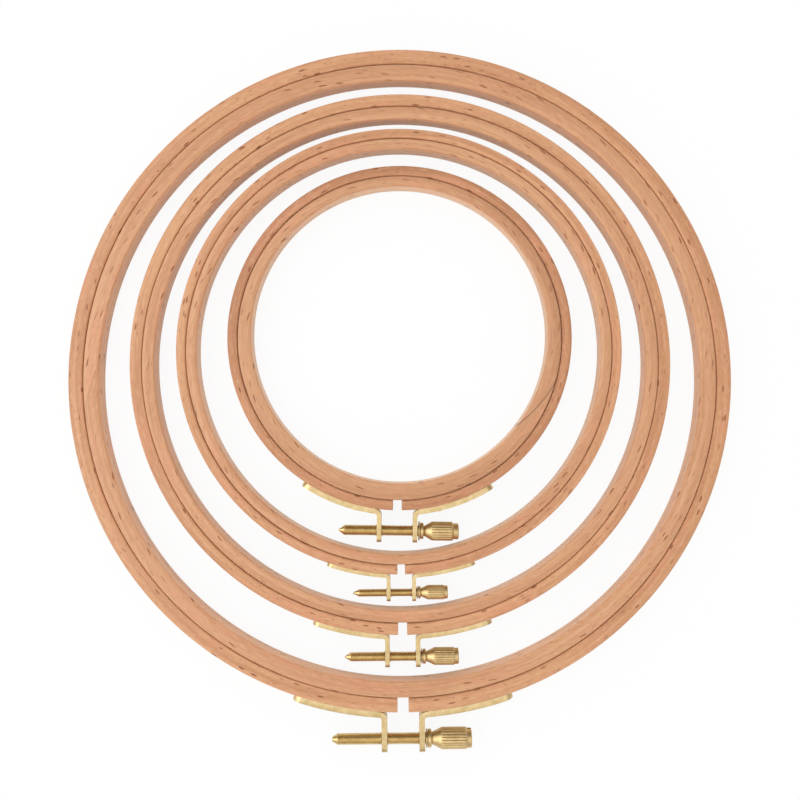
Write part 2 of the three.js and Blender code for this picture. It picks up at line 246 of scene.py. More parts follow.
# Where each change of light starts and ends, on a direction's scale from -1 to 1
SKY_HEIGHTS = (0.7, 0.0)
SIDE_RANGE = (0.1, 0.9)
FAR_RANGE = (0.16, 0.72)
NEAR_RANGE = (-0.25, -0.85)
RIGHT_RANGE = (0.3, 0.9)
LAMP_PLACE = Vector((-0.75, 0.02, 0.75))
LAMP_SIZE = 1.1
LAMP_POWER = 3.0


def room_in_metal(nodes, parts):
    """How bright the room looks in the metal, by direction."""
    far_side = nodes.between(parts["Y"], *FAR_RANGE, BRIGHT_LEVEL, FAR_LEVEL)
    near_side = nodes.between(parts["Y"], *NEAR_RANGE, BRIGHT_LEVEL, NEAR_LEVEL)
    right_side = nodes.between(parts["X"], *RIGHT_RANGE, 1.0, RIGHT_SHADE)
    return nodes.math("MULTIPLY", nodes.math("MINIMUM", far_side, near_side), right_side)


def dress_world():
    world = bpy.data.worlds.new("studio")
    world.use_nodes = True
    bpy.context.scene.world = world
    nodes = Nodes(world.node_tree)
    direction = nodes.add("ShaderNodeTexCoord").outputs["Generated"]
    parts = nodes.add("ShaderNodeSeparateXYZ", {0: direction}).outputs
    sky = nodes.between(parts["Z"], *SKY_HEIGHTS, SKY_LIGHT, LOW_SKY_LIGHT)
    off_middle = nodes.math("ABSOLUTE", parts["Y"])
    gain = nodes.between(off_middle, *SIDE_RANGE, 1.0, SIDE_GAIN)
    sky = nodes.math("MULTIPLY", sky, gain)
    mirrored = room_in_metal(nodes, parts)
    from_camera, from_metal = ray_kinds(nodes)
    strength = nodes.add("ShaderNodeMix", {0: from_metal, 2: sky, 3: mirrored}).outputs[0]
    strength = nodes.add("ShaderNodeMix", {0: from_camera, 2: strength, 3: 1.0}).outputs[0]
    background = nodes.add("ShaderNodeBackground", {"Color": WHITE, "Strength": strength})
    nodes.add("ShaderNodeOutputWorld", {"Surface": background.outputs[0]})


dress_world()
lamp_data = bpy.data.lights.new("soft_lamp", "AREA")
lamp_data.shape = "DISK"
lamp_data.size = LAMP_SIZE
lamp_data.energy = LAMP_POWER
lamp = bpy.data.objects.new("soft_lamp", lamp_data)
lamp.location = LAMP_PLACE
lamp.rotation_euler = LAMP_PLACE.to_track_quat("Z", "Y").to_euler()
bpy.context.scene.collection.objects.link(lamp)
bpy.context.scene.view_settings.view_transform = "Standard"
print("lamp stands", round(LAMP_PLACE.length, 2), "m away")

# %% [markdown]
# The sizes of the pieces are given once, in millimetres. The radii, the places and the turns of
# the hoops are read from the plain model, so that the fine pieces land where the plain ones are.
# A fitting is a hoop's brackets, pins and screw. The two middle hoops have the large fitting in
# smaller sizes, with a pointed nose on the screw's rod.

# %% Sizes of the set
RING_HEIGHT = 8
MIDDLE_HEIGHT = RING_HEIGHT / 2
OUTSIDE_ROUNDING = 0.8
JOINT_ROUNDING = 0.7

LARGE_FITTING = {
    "strip_thickness": 2.1,
    "strip_width": 6.4,
    "strip_reach": 41.9,
    "bend_radius": 1,
    "ear_offset": 7.15,
    "ear_tail": 4.6,
    "ear_corner": 2,
    "screw_drop": 11.1,
    "burr_radius": 2.95,
    "burr_height": 0.3,
    "rod_radius": 2.15,
    "rod_tail": 20,
    "nose_radius": 1.2,
    "nose_rounding": 0.7,
    "nose_length": 0.75,
    "nose_shoulder": 1.3,
    "washer_radius": 3.5,
    "washer_thickness": 0.5,
    "collar_radius": 3.4,
    "collar_rounding": 0.5,
    "collar_length": 1.4,
    "waist_radius": 2.2,
    "cone_length": 4,
    "knurl_radius": 4,
    "knurl_length": 9.55,
    "flute_depth": 0.4,
    "cap_radius": 3.6,
    "cap_length": 1.7,
    "slot_width": 1.2,
    "slot_depth": 1.6,
    "pin_reach": 31.2,
    "pin_head_radius": 1.2,
    "pin_head_height": 0.4,
    "thread_pitch": 0.7,
    "thread_depth": 0.2,
}
POINTED_NOSE = {
    "nose_radius": 0.4,
    "nose_rounding": 0.2,
    "nose_length": 0.3,
    "nose_shoulder": 2,
}
SHORT_FITTING = LARGE_FITTING | POINTED_NOSE | {
    "strip_thickness": 1.75,
    "strip_width": 6.2,
    "strip_reach": 37.4,
    "bend_radius": 1.2,
    "ear_offset": 6.8,
    "ear_tail": 4.2,
    "ear_corner": 1.6,
    "screw_drop": 8.1,
    "burr_radius": 2.75,
    "rod_radius": 2,
    "rod_tail": 15.5,
    "washer_radius": 3.6,
    "collar_radius": 3.1,
    "collar_rounding": 0.4,
    "collar_length": 1.3,
    "waist_radius": 1.8,
    "cone_length": 3.2,
    "knurl_radius": 3.6,
    "knurl_length": 8.2,
    "cap_radius": 3,
    "cap_length": 1.9,
    "slot_width": 1.1,
    "slot_depth": 1.4,
    "pin_reach": 15.8,
    "thread_pitch": 0.6,
    "thread_depth": 0.18,
}
SECOND_SCALE = 0.815
THIRD_SCALE = 0.675


def resized(fitting, scale):
    return {name: length * scale for name, length in fitting.items()}


class Hoop:
    """One hoop: its sizes in millimetres, and its place in the set."""

    def __init__(self, number, outer_wall, inner_wall, slit_width, fitting, flutes):
        self.name = f"hoop_{number}"
        self.number = number
        self.outer_wall = outer_wall
        self.slit_width = slit_width
        self.fit = fitting
        self.flutes = flutes
        low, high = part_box(f"{self.name}_outer_ring")
        self.radius = (high.x - low.x) / 2 / MM
        low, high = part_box(f"{self.name}_inner_ring")
        self.inner_radius = (high.x - low.x) / 2 / MM
        self.opening = self.inner_radius - inner_wall
        centre = (low + high) / 2
        turns = {joint["name"]: joint["axis"] for joint in frame["joints"]}
        axis = turns[f"{self.name}_screw_turn"]
        self.turn = math.atan2(axis[1], axis[0])
        self.centre = Vector((centre.x, centre.y, 0))
        self.place = Matrix.Translation(self.centre) @ Matrix.Rotation(self.turn, 4, "Z")

    def full_name(self, part):
        """The name that one of the hoop's nodes or bodies has in the set."""
        return f"{self.name}_{part}"


SECOND_FITTING = resized(LARGE_FITTING, SECOND_SCALE) | POINTED_NOSE
THIRD_FITTING = resized(LARGE_FITTING, THIRD_SCALE) | POINTED_NOSE
HOOPS = [
    Hoop(1, outer_wall=5.5, inner_wall=5.8, slit_width=4.2, fitting=LARGE_FITTING, flutes=20),
    Hoop(2, outer_wall=4.5, inner_wall=4.5, slit_width=3.4, fitting=SECOND_FITTING, flutes=20),
    Hoop(3, outer_wall=3.65, inner_wall=3.85, slit_width=2.85, fitting=THIRD_FITTING, flutes=20),
    Hoop(4, outer_wall=3.75, inner_wall=5, slit_width=3.3, fitting=SHORT_FITTING, flutes=18),
]
for hoop in HOOPS:
    print(hoop.name, "radius", round(hoop.radius, 2), "opening", round(hoop.opening, 2))

# %% [markdown]
# A finished piece is a mesh whose vertices are already in place, so that its object can stay at
# the origin. The first helpers turn a bmesh in a hoop's own millimetres into such an object, and
# tell which body it moves with and which plain node it stands for. Edges sharper than 40 degrees
# stay crisp, and the rest are shaded smooth. A long spin is slow, so a shape that repeats, such
# as a thread or a fluted grip, is spun for one share only, and that share is copied on.

# %% Helpers that finish and repeat a piece
X_AXIS = (1, 0, 0)
Z_AXIS = (0, 0, 1)
SMOOTH_BELOW = math.radians(40)
MERGE_DISTANCE = 0.004
ARC_STEPS = 5


def as_object(shape, hoop, name):
    """Turns a bmesh in a hoop's own millimetres into an object that is already in place."""
    bmesh.ops.scale(shape, vec=(MM, MM, MM), verts=shape.verts)
    bmesh.ops.transform(shape, matrix=hoop.place, verts=shape.verts)
    bmesh.ops.recalc_face_normals(shape, faces=shape.faces)
    mesh = bpy.data.meshes.new(name)
    shape.to_mesh(mesh)
    shape.free()
    made = bpy.data.objects.new(name, mesh)
    bpy.context.scene.collection.objects.link(made)
    return made


def finish_piece(shape, hoop, part, body, material, suffix="fine"):
    """Makes a shape a piece that moves with a body and stands for a plain node."""
    for face in shape.faces:
        face.smooth = True
    node = hoop.full_name(part)
    piece = as_object(shape, hoop, f"{node}_{suffix}")
    piece.data.set_sharp_from_angle(angle=SMOOTH_BELOW)
    piece.data.materials.append(material)
    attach(piece, hoop.full_name(body))
    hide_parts(node)
    return piece


def arc(centre, radius, start, end):
    """Points along an arc, as pairs of numbers, from one angle in degrees to another."""
    points = []
    for step in range(ARC_STEPS + 1):
        angle = math.radians(start + (end - start) * step / ARC_STEPS)
        points.append((centre[0] + radius * math.cos(angle), centre[1] + radius * math.sin(angle)))
    return points


def chain(shape, points, closed=False):
    """Joins points to a chain of edges, and returns its vertices and edges."""
    verts = [shape.verts.new(point) for point in points]
    pairs = list(zip(verts, verts[1:]))
    if closed:
        pairs.append((verts[-1], verts[0]))
    edges = [shape.edges.new(pair) for pair in pairs]
    return verts + edges


def repeated(shape, copies, turn=0.0, axis="Z", advance=(0, 0, 0)):
    """Repeats a share of a shape, each time turned and moved on, and merges the shares."""
    share = shape.verts[:] + shape.edges[:] + shape.faces[:]
    rotation = Matrix.Rotation(turn, 3, axis)
    for _ in range(copies - 1):
        share = bmesh.ops.duplicate(shape, geom=share)["geom"]
        verts = [item for item in share if isinstance(item, bmesh.types.BMVert)]
        bmesh.ops.rotate(shape, cent=(0, 0, 0), matrix=rotation, verts=verts)
        bmesh.ops.translate(shape, vec=advance, verts=verts)
    bmesh.ops.remove_doubles(shape, verts=shape.verts, dist=MERGE_DISTANCE)
    return shape


def spun(shape, profile, axis, angle, steps, advance=(0, 0, 0), closed=False):
    """Spins edges about an axis through the centre, and moves them on at each step."""
    bmesh.ops.spin(
        shape, geom=profile, cent=(0, 0, 0), axis=axis, dvec=advance,
        angle=angle, steps=steps, use_merge=closed,
    )


def soften(shape, edges, offset, segments):
    """Rounds edges with a small bevel."""
    bmesh.ops.bevel(
        shape, geom=edges, offset=offset, segments=segments, profile=0.5,
        affect="EDGES", material=-1, clamp_overlap=True,
    )


print("piece helpers ready")

# %% [markdown]
# Beech is a pale, pinkish wood. Its fibres run along the strip that the ring was bent from, so
# every pattern in the wood is long along the ring and narrow across it. The material therefore
# turns the object's coordinates into three lengths: along the ring, outwards, and up. A noise
# that is stretched along the first gives the streaks. Beech is known by its rays, which show as
# short dark flecks: a cell pattern, cut off close to the cells' centres, makes those. An inner
# ring has no slit, so its strip is closed by a scarf joint, two long slopes glued together. The
# length along the ring is measured from that slope, so that the grain breaks off there.

# %% Beech
RAY_FLECK = colour(146, 76, 16)
DARK_STREAK = colour(176, 114, 74)
LIGHT_STREAK = colour(234, 186, 142)
BLUSH = colour(224, 152, 110)
GLUE_LINE = colour(128, 80, 52)
WOOD_RELIEF = 0.06 * MM
WOOD_FINISH = {
    "Coat Weight": 0.7,
    "Coat Roughness": 0.4,
    "Sheen Weight": 0.8,
    "Sheen Roughness": 0.4,
    "Sheen Tint": colour(255, 232, 200),
}

# How long each pattern in the wood is, in millimetres along the ring, outwards and up
WAVE_LENGTHS = (38, 1, 1)
BAND_LENGTHS = (120, 2.4, 2.4)
STREAK_LENGTHS = (20, 0.6, 0.6)
BLUSH_LENGTHS = (26, 5, 5)
MOTTLE_LENGTHS = (3.5, 0.9, 0.9)
FIBRE_LENGTHS = (6, 0.2, 0.2)
CLUSTER_LENGTHS = (22, 4, 4)
LONG_FLECK_LENGTHS = (5.4, 1.3, 2.4)
SHORT_FLECK_LENGTHS = (2.6, 0.8, 1.2)

WAVE_SIZE = 2.6
SEED_SHIFT = 31.0
LONG_FLECK_CHANCE = 0.3
SHORT_FLECK_CHANCE = 0.25
SHORT_FLECK_STRENGTH = 0.45
FLECK_DEPTH = 0.6
FLECK_RIM = (0.3, 0.2)
GLUE_RANGE = (0.34, 0.1)


def ring_lengths(nodes, hoop, radius):
    """Millimetres along the ring from the side opposite the slit, outwards, and up."""
    place = nodes.add("ShaderNodeTexCoord").outputs["Object"]
    inputs = {0: place, 1: hoop.centre}
    centred = nodes.add("ShaderNodeVectorMath", inputs, operation="SUBTRACT").outputs[0]
    parts = nodes.add("ShaderNodeSeparateXYZ", {0: nodes.millimetres(centred)})
    angle = nodes.math("ARCTAN2", parts.outputs["X"], parts.outputs["Y"])
    along = nodes.math("MULTIPLY", angle, radius)
    squares = [nodes.math("POWER", parts.outputs[axis], 2.0) for axis in ("X", "Y")]
    out = nodes.math("SQRT", nodes.math("ADD", *squares))
    return along, out, parts.outputs["Z"]


def from_scarf(nodes, along, out, radius, degrees, slope):
    """The length along the ring from the scarf joint's slope, and the distance from its line."""
    start = radius * math.radians(degrees)
    inwards = nodes.math("SUBTRACT", radius, out)
    sloped = nodes.math("SUBTRACT", along, nodes.math("MULTIPLY", inwards, slope))
    length = FULL_TURN * radius
    inputs = {0: nodes.math("SUBTRACT", sloped, start), 1: length, 2: 0.0}
    wrapped = nodes.add("ShaderNodeMath", inputs, operation="WRAP").outputs[0]
    nearest = nodes.math("MINIMUM", wrapped, nodes.math("SUBTRACT", length, wrapped))
    return wrapped, nodes.math("DIVIDE", nearest, math.hypot(1, slope))


def ray_flecks(nodes, grain, cells, chance):
    """Short dark marks along the grain, each in a cell of its own, in some of the cells."""
    inputs = {"Vector": nodes.stretched(grain, cells), "Scale": 1.0, "Randomness": 1.0}
    rays = nodes.add("ShaderNodeTexVoronoi", inputs)
    fleck = nodes.between(rays.outputs["Distance"], *FLECK_RIM)
    lot = nodes.add("ShaderNodeSeparateXYZ", {0: rays.outputs["Color"]}).outputs["X"]
    return nodes.math("MULTIPLY", fleck, nodes.between(lot, 1 - chance, 1.15 - chance))


def beech(hoop, ring, radius, seed, tones, scarf=None):
    """Bent beech, with streaks along the ring and short dark rays."""
    material, nodes = new_material(f"{hoop.name}_{ring}_beech")
    along, out, up = ring_lengths(nodes, hoop, radius)
    if scarf:
        degrees, slope, darkness = scarf
        along, from_line = from_scarf(nodes, along, out, radius, degrees, slope)
    start = nodes.add("ShaderNodeCombineXYZ", {0: along, 1: seed, 2: seed}).outputs[0]
    drift = nodes.noise(start, WAVE_LENGTHS, detail=1.0)
    wavy_out = nodes.math("ADD", out, nodes.math("MULTIPLY", drift, WAVE_SIZE))
    shifted = nodes.math("ADD", along, seed * SEED_SHIFT)
    grain = nodes.add("ShaderNodeCombineXYZ", {0: shifted, 1: wavy_out, 2: up}).outputs[0]

    bands = nodes.noise(grain, BAND_LENGTHS, detail=3.0)
    streaks = nodes.noise(grain, STREAK_LENGTHS, detail=4.0, roughness=0.6)
    blush = nodes.noise(grain, BLUSH_LENGTHS)
    mottling = nodes.noise(grain, MOTTLE_LENGTHS)
    fibres = nodes.noise(grain, FIBRE_LENGTHS, detail=3.0, roughness=0.7)

    wood = nodes.blend(nodes.between(bands, 0.32, 0.68), *tones)
    wood = nodes.layer(wood, blush, 0.45, 0.75, 0.6, BLUSH)
    wood = nodes.layer(wood, streaks, 0.52, 0.76, 0.4, DARK_STREAK)
    wood = nodes.layer(wood, streaks, 0.46, 0.24, 0.45, LIGHT_STREAK)
    wood = nodes.layer(wood, mottling, 0.52, 0.74, 0.3, DARK_STREAK)
    wood = nodes.layer(wood, mottling, 0.46, 0.28, 0.35, LIGHT_STREAK)
    wood = nodes.layer(wood, fibres, 0.5, 0.8, 0.35, DARK_STREAK)

    clusters = nodes.noise(grain, CLUSTER_LENGTHS, detail=1.0)
    long_flecks = ray_flecks(nodes, grain, LONG_FLECK_LENGTHS, LONG_FLECK_CHANCE)
    crowding = nodes.between(clusters, 0.35, 0.6, 0.5, 1.0)
    long_flecks = nodes.math("MULTIPLY", long_flecks, crowding)
    short_flecks = ray_flecks(nodes, grain, SHORT_FLECK_LENGTHS, SHORT_FLECK_CHANCE)
    short_flecks = nodes.math("MULTIPLY", short_flecks, SHORT_FLECK_STRENGTH)
    flecks = nodes.math("MAXIMUM", long_flecks, short_flecks)
    wood = nodes.blend(flecks, wood, RAY_FLECK)
    if scarf:
        wood = nodes.layer(wood, from_line, *GLUE_RANGE, darkness, GLUE_LINE)

    relief = nodes.math("SUBTRACT", fibres, nodes.math("MULTIPLY", flecks, FLECK_DEPTH))
    tilt = nodes.tilted(0.3, WOOD_RELIEF, relief)
    gloss = nodes.between(streaks, 0.2, 0.8, 0.4, 0.55)
    inputs = WOOD_FINISH | {"Base Color": wood, "Roughness": gloss, "Normal": tilt}
    nodes.show(nodes.add("ShaderNodeBsdfPrincipled", inputs))
    return material


print("beech has glued slopes, streaks and flecks")

# %% [markdown]
# A ring is a bar with rounded edges, bent round, so its section is spun about the centre. The
# edges at the joint between the rings are sanded a little less than the outside ones. The plain
# model leaves room in the joint for the inner ring to lift. Here that ring reaches a little
# further out, so that the dark joint line is as thin as in the photograph. Real bent wood is never
# quite round, so the faces at the joint draw back by up to a tenth of a millimetre, more in some
# places than in others, and the line is thicker there. The smallest hoop's opening lies a little
# off its centre, so that ring is thicker near the screw.

# %% Rings
RING_SHARES = 16
SHARE_STEPS = 16
JOINT_WANDER = 0.05
JOINT_CLOSING = 0.2
INNER_DRAW_REACH = 3
OUTER_DRAW_REACH = 2.5
SLIT_RIM = 0.25
UNCUT_SLIT = 0.7
OPENING_SHIFT = {4: 1.2}
# The waves in a full turn, and how much of the wobble each takes
WAVES = ((2, 0.4), (3, 0.25), (5, 0.2), (9, 0.15))


def ring_section(inner, outer, inner_rounding, outer_rounding):
    """The corners of a bar's section with rounded edges, as (radius, height) pairs."""
    low_out = (outer - outer_rounding, outer_rounding)
    high_out = (outer - outer_rounding, RING_HEIGHT - outer_rounding)
    high_in = (inner + inner_rounding, RING_HEIGHT - inner_rounding)
    low_in = (inner + inner_rounding, inner_rounding)
    return (
        arc(low_out, outer_rounding, -90, 0)
        + arc(high_out, outer_rounding, 0, 90)
        + arc(high_in, inner_rounding, 90, 180)
        + arc(low_in, inner_rounding, 180, 270)
    )


def wander(angle, seed):
    """A slow, smooth wobble between -1 and 1 that closes on itself after a full turn."""
    return sum(size * math.sin(count * angle + seed * count) for count, size in WAVES)


def bent_ring(section, start_angle, sweep):
    """A section spun through one share of the sweep, and repeated."""
    shape = bmesh.new()
    profile = chain(shape, [(0, -radius, height) for radius, height in section], closed=True)
    bmesh.ops.rotate(shape, matrix=Matrix.Rotation(start_angle, 3, "Z"), verts=shape.verts)
    share = sweep / RING_SHARES
    spun(shape, profile, Z_AXIS, share, SHARE_STEPS)
    return repeated(shape, RING_SHARES, turn=share)


def draw_back(shape, joint_radius, reach, direction, seed):
    """Draws the ring's face at the joint back, and with it the edges beside that face."""
    for vertex in shape.verts:
        radius = vertex.co.xy.length
        nearness = max(0.0, 1 - abs(radius - joint_radius) / reach)
        angle = math.atan2(vertex.co.y, vertex.co.x)
        back = nearness * JOINT_WANDER * (1 + wander(angle, seed))
        vertex.co.xy = vertex.co.xy * ((radius + direction * back) / radius)


def inner_ring(hoop):
    outside = hoop.inner_radius + JOINT_CLOSING
    section = ring_section(hoop.opening, outside, OUTSIDE_ROUNDING, JOINT_ROUNDING)
    shape = bent_ring(section, 0, FULL_TURN)
    draw_back(shape, outside, INNER_DRAW_REACH, -1, hoop.number)
    middle = (hoop.opening + hoop.inner_radius) / 2
    inside = [vertex for vertex in shape.verts if vertex.co.xy.length < middle]
    shift = OPENING_SHIFT.get(hoop.number, 0)
    bmesh.ops.translate(shape, vec=(0, shift, 0), verts=inside)
    return shape


def outer_ring(hoop):
    """A ring spun a little past the slit's faces, which are then cut square."""
    inside = hoop.radius - hoop.outer_wall
    section = ring_section(inside, hoop.radius, JOINT_ROUNDING, OUTSIDE_ROUNDING)
    gap_angle = hoop.slit_width / 2 / hoop.radius * UNCUT_SLIT
    shape = bent_ring(section, gap_angle, FULL_TURN - 2 * gap_angle)
    for side in (-1, 1):
        near = [v for v in shape.verts if v.co.y < 0 and side * v.co.x > 0]
        near_set = set(near)
        edges = [e for e in shape.edges if all(v in near_set for v in e.verts)]
        faces = [f for f in shape.faces if all(v in near_set for v in f.verts)]
        bmesh.ops.bisect_plane(
            shape,
            geom=near + edges + faces,
            plane_co=(side * hoop.slit_width / 2, 0, 0),
            plane_no=(-side, 0, 0),
            clear_outer=True,
        )
    open_edges = [edge for edge in shape.edges if edge.is_boundary]
    bmesh.ops.edgeloop_fill(shape, edges=open_edges)
    end_faces = [face for face in shape.faces if len(face.verts) > 4]
    rims = {edge for face in end_faces for edge in face.edges}
    bmesh.ops.recalc_face_normals(shape, faces=shape.faces)
    soften(shape, list(rims), SLIT_RIM, 2)
    draw_back(shape, inside, OUTER_DRAW_REACH, 1, hoop.number + 0.6)
    return shape


# Each wood has a pale and a deep tone. The smallest hoop is from a darker, redder batch.
INNER_WOOD = (colour(222, 165, 119), colour(205, 144, 98))
OUTER_WOOD = (colour(223, 163, 115), colour(199, 136, 90))
INNER_RED_WOOD = (colour(213, 156, 111), colour(196, 137, 92))
OUTER_RED_WOOD = (colour(205, 141, 96), colour(182, 118, 74))

# Each scarf joint's place in degrees clockwise from the top, its slope, and how dark it is
SCARF_JOINTS = {
    1: (265, 3.2, 0.15),
    2: (300, 3.4, 0.15),
    3: (75, 3.4, 0.15),
    4: (106, 3.8, 0.75),
}

for hoop in HOOPS:
    small = hoop.number == 4
    # The seeds only have to differ, so that no two rings have the same grain
    seed = hoop.number * 7.3
    tones = OUTER_RED_WOOD if small else OUTER_WOOD
    wood = beech(hoop, "outer", hoop.radius, seed, tones)
    ring = finish_piece(outer_ring(hoop), hoop, "outer_ring", "clamp_ring", wood)
    tones = INNER_RED_WOOD if small else INNER_WOOD
    scarf = SCARF_JOINTS[hoop.number]
    seed = hoop.number * 5.1 + 3
    wood = beech(hoop, "inner", hoop.inner_radius, seed, tones, scarf)
    finish_piece(inner_ring(hoop), hoop, "inner_ring", "inner", wood)
    print(hoop.name, "ring faces:", len(ring.data.polygons))

# %% [markdown]
# All the metal is brass. A turned piece has very fine lines round its axis, and a rolled strip
# has them along its length. The screws' heads are the dullest. All are one metallic shader, with
# a noise that varies the colour and the gloss and raises a faint relief.

# %% Brass
BRASS_SHADE = colour(176, 140, 86)
STAIN_LENGTHS = (2.6, 2.6, 2.6)
BRASS_RELIEF = 0.02 * MM
SMOOTHER = 0.06
DULLER = 0.08


def brass(hoop, part, line_lengths, roughness, tones):
    """Brass with fine lines. The line lengths are in millimetres, along the hoop's own axes."""
    material, nodes = new_material(f"{hoop.name}_{part}_brass")
    place = nodes.add("ShaderNodeTexCoord").outputs["Object"]
    inputs = {"Vector": place, "Location": hoop.centre, "Rotation": (0, 0, hoop.turn)}
    local = nodes.add("ShaderNodeMapping", inputs, vector_type="TEXTURE").outputs[0]
    scaled = nodes.millimetres(local)
    lines = nodes.noise(scaled, line_lengths, detail=3.0, roughness=0.6)
    stains = nodes.noise(scaled, STAIN_LENGTHS, detail=3.0)
    tone = nodes.blend(nodes.between(stains, 0.3, 0.7), *tones)
    tone = nodes.layer(tone, lines, 0.5, 0.9, 0.35, BRASS_SHADE)
    gloss = nodes.between(lines, 0.2, 0.8, roughness - SMOOTHER, roughness + DULLER)
    tilt = nodes.tilted(0.2, BRASS_RELIEF, lines)
    inputs = {"Base Color": tone, "Roughness": gloss, "Normal": tilt, "Metallic": 1.0}
    nodes.show(nodes.add("ShaderNodeBsdfPrincipled", inputs))
    return material


print("brass is shaded with:", [round(level, 2) for level in BRASS_SHADE[:3]])

# %% [markdown]
# A bracket starts as a flat blank: a strip with one round end, a small hole for the pin, and a
# hole near the other end for the screw, with a burr round it where the tool came through. The
# blank is modelled flat, because cutting, extruding and bevelling are easy there. It is sliced
# across where it will bend. Then every vertex is moved to its place on the bent path, as a press
# would do: along the ring, round the tight bend, and straight out along the ear. The side that
# lies on the ring is let down until it almost touches the wood.

# %% Brackets
HOLE_STEPS = 32
STRIP_SEAT = 0.02
STRIP_GAP = 0.2
RIM_BEVEL = 0.25
HOLE_BEVEL = 0.1
RIM_ANGLE = math.radians(60)
ROD_ROOM = 0.1
LIP_WIDTH = 0.25
RING_SLICES = 22
BEND_SLICES = 10
CORNER_SEGMENTS = 10
SLICE_TOLERANCE = 1e-4
# The round end's two corners stop just short of each other, and are merged afterwards
TIP_ROUNDING = 0.999
TIP_MERGE = 0.02


class BentPath:
    """Where a bracket's middle surface runs, in the hoop's own millimetres."""

    def __init__(self, hoop):
        fit = hoop.fit
        self.fit = fit
        thickness = fit["strip_thickness"]
        self.middle = hoop.radius + STRIP_GAP + thickness / 2
        self.bend = fit["bend_radius"] + thickness / 2
        self.bend_x = fit["ear_offset"] + self.bend
        reach = self.middle + self.bend
        self.bend_y = -math.sqrt(reach**2 - self.bend_x**2)
        self.bend_angle = math.asin(self.bend_x / reach)
        self.tip_angle = fit["strip_reach"] / hoop.radius
        self.to_bend = (self.tip_angle - self.bend_angle) * self.middle
        self.to_ear = self.to_bend + (QUARTER_TURN - self.bend_angle) * self.bend
        screw_y = -(hoop.radius + fit["screw_drop"])
        self.to_hole = self.to_ear + self.bend_y - screw_y
        self.length = self.to_hole + fit["ear_tail"]
        self.to_pin = (fit["strip_reach"] - fit["pin_reach"]) / hoop.radius * self.middle

    def point(self, along, out):
        """The place of a point at a distance along the blank and out from its middle."""
        if along <= self.to_bend:
            angle = self.tip_angle - along / self.middle
            reach = self.middle + out
            return reach * math.sin(angle), -reach * math.cos(angle)
        if along <= self.to_ear:
            angle = self.bend_angle + QUARTER_TURN + (along - self.to_bend) / self.bend
            reach = self.bend - out
            return self.bend_x + reach * math.cos(angle), self.bend_y + reach * math.sin(angle)
        return self.fit["ear_offset"] + out, self.bend_y - (along - self.to_ear)


def flat_outline(shape, path):
    """The blank's outline as edges, with a round far end and rounded ear corners."""
    half = path.fit["strip_width"] / 2
    corners = [(0, -half), (path.length, -half), (path.length, half), (0, half)]
    verts = [shape.verts.new((x, 0, z)) for x, z in corners]
    shape.faces.new(verts)
    rounding = {"segments": CORNER_SEGMENTS, "profile": 0.5, "affect": "VERTICES", "material": -1}
    ear_corners = [v for v in shape.verts if v.co.x > path.length / 2]
    bmesh.ops.bevel(shape, geom=ear_corners, offset=path.fit["ear_corner"], **rounding)
    tip_corners = [v for v in shape.verts if v.co.x < path.length / 2]
    bmesh.ops.bevel(shape, geom=tip_corners, offset=half * TIP_ROUNDING, **rounding)
    bmesh.ops.remove_doubles(shape, verts=shape.verts, dist=TIP_MERGE)
    bmesh.ops.delete(shape, geom=shape.faces[:], context="FACES_ONLY")
    return shape.edges[:]


def circle_edges(shape, x, radius):
    """A circle in the blank's plane, as edges."""
    place = Matrix.Translation((x, 0, 0)) @ Matrix.Rotation(QUARTER_TURN, 4, "X")
    made = bmesh.ops.create_circle(shape, segments=HOLE_STEPS, radius=radius, matrix=place)
    return list({edge for vertex in made["verts"] for edge in vertex.link_edges})


def slice_across(shape, start, end, count):
    """Slices a blank at evenly spaced places between two lengths, and at the second."""
    for step in range(1, count + 1):
        station = start + (end - start) * step / count
        bmesh.ops.bisect_plane(
            shape,
            geom=shape.verts[:] + shape.edges[:] + shape.faces[:],
            dist=SLICE_TOLERANCE,
            plane_co=(station, 0, 0),
            plane_no=(1, 0, 0),
        )


def flat_blank(path):
    """The bracket before it is bent, lying in the XZ plane, with its thickness along Y."""
    fit = path.fit
    shape = bmesh.new()
    edges = flat_outline(shape, path)
    hole = fit["rod_radius"] + ROD_ROOM
    lip = hole + LIP_WIDTH
    foot = fit["burr_radius"]
    loops = [circle_edges(shape, path.to_hole, radius) for radius in (hole, lip, foot)]
    pin = circle_edges(shape, path.to_pin, fit["pin_head_radius"] / 2)
    fill = edges + loops[2] + pin
    bmesh.ops.triangle_fill(shape, use_beauty=True, edges=fill, normal=(0, 1, 0))
    bmesh.ops.bridge_loops(shape, edges=loops[0] + loops[1])
    bmesh.ops.bridge_loops(shape, edges=loops[1] + loops[2])
    slice_across(shape, 0, path.to_bend, RING_SLICES)
    slice_across(shape, path.to_bend, path.to_ear, BEND_SLICES)

    bottom = shape.verts[:]
    made = bmesh.ops.extrude_face_region(shape, geom=shape.faces[:])
    top = [item for item in made["geom"] if isinstance(item, bmesh.types.BMVert)]
    half = fit["strip_thickness"] / 2
    bmesh.ops.translate(shape, vec=(0, half, 0), verts=top)
    bmesh.ops.translate(shape, vec=(0, -half, 0), verts=bottom)
    bmesh.ops.recalc_face_normals(shape, faces=shape.faces)
    outside = [edge for edge in sharp_rims(shape) if not at_a_hole(edge, path)]
    soften(shape, outside, RIM_BEVEL * fit["strip_thickness"], 4)
    soften(shape, sharp_rims(shape), HOLE_BEVEL, 1)
    raise_burr(shape, path, lip, foot)
    return shape


def sharp_rims(shape):
    return [e for e in shape.edges if e.is_manifold and e.calc_face_angle() > RIM_ANGLE]


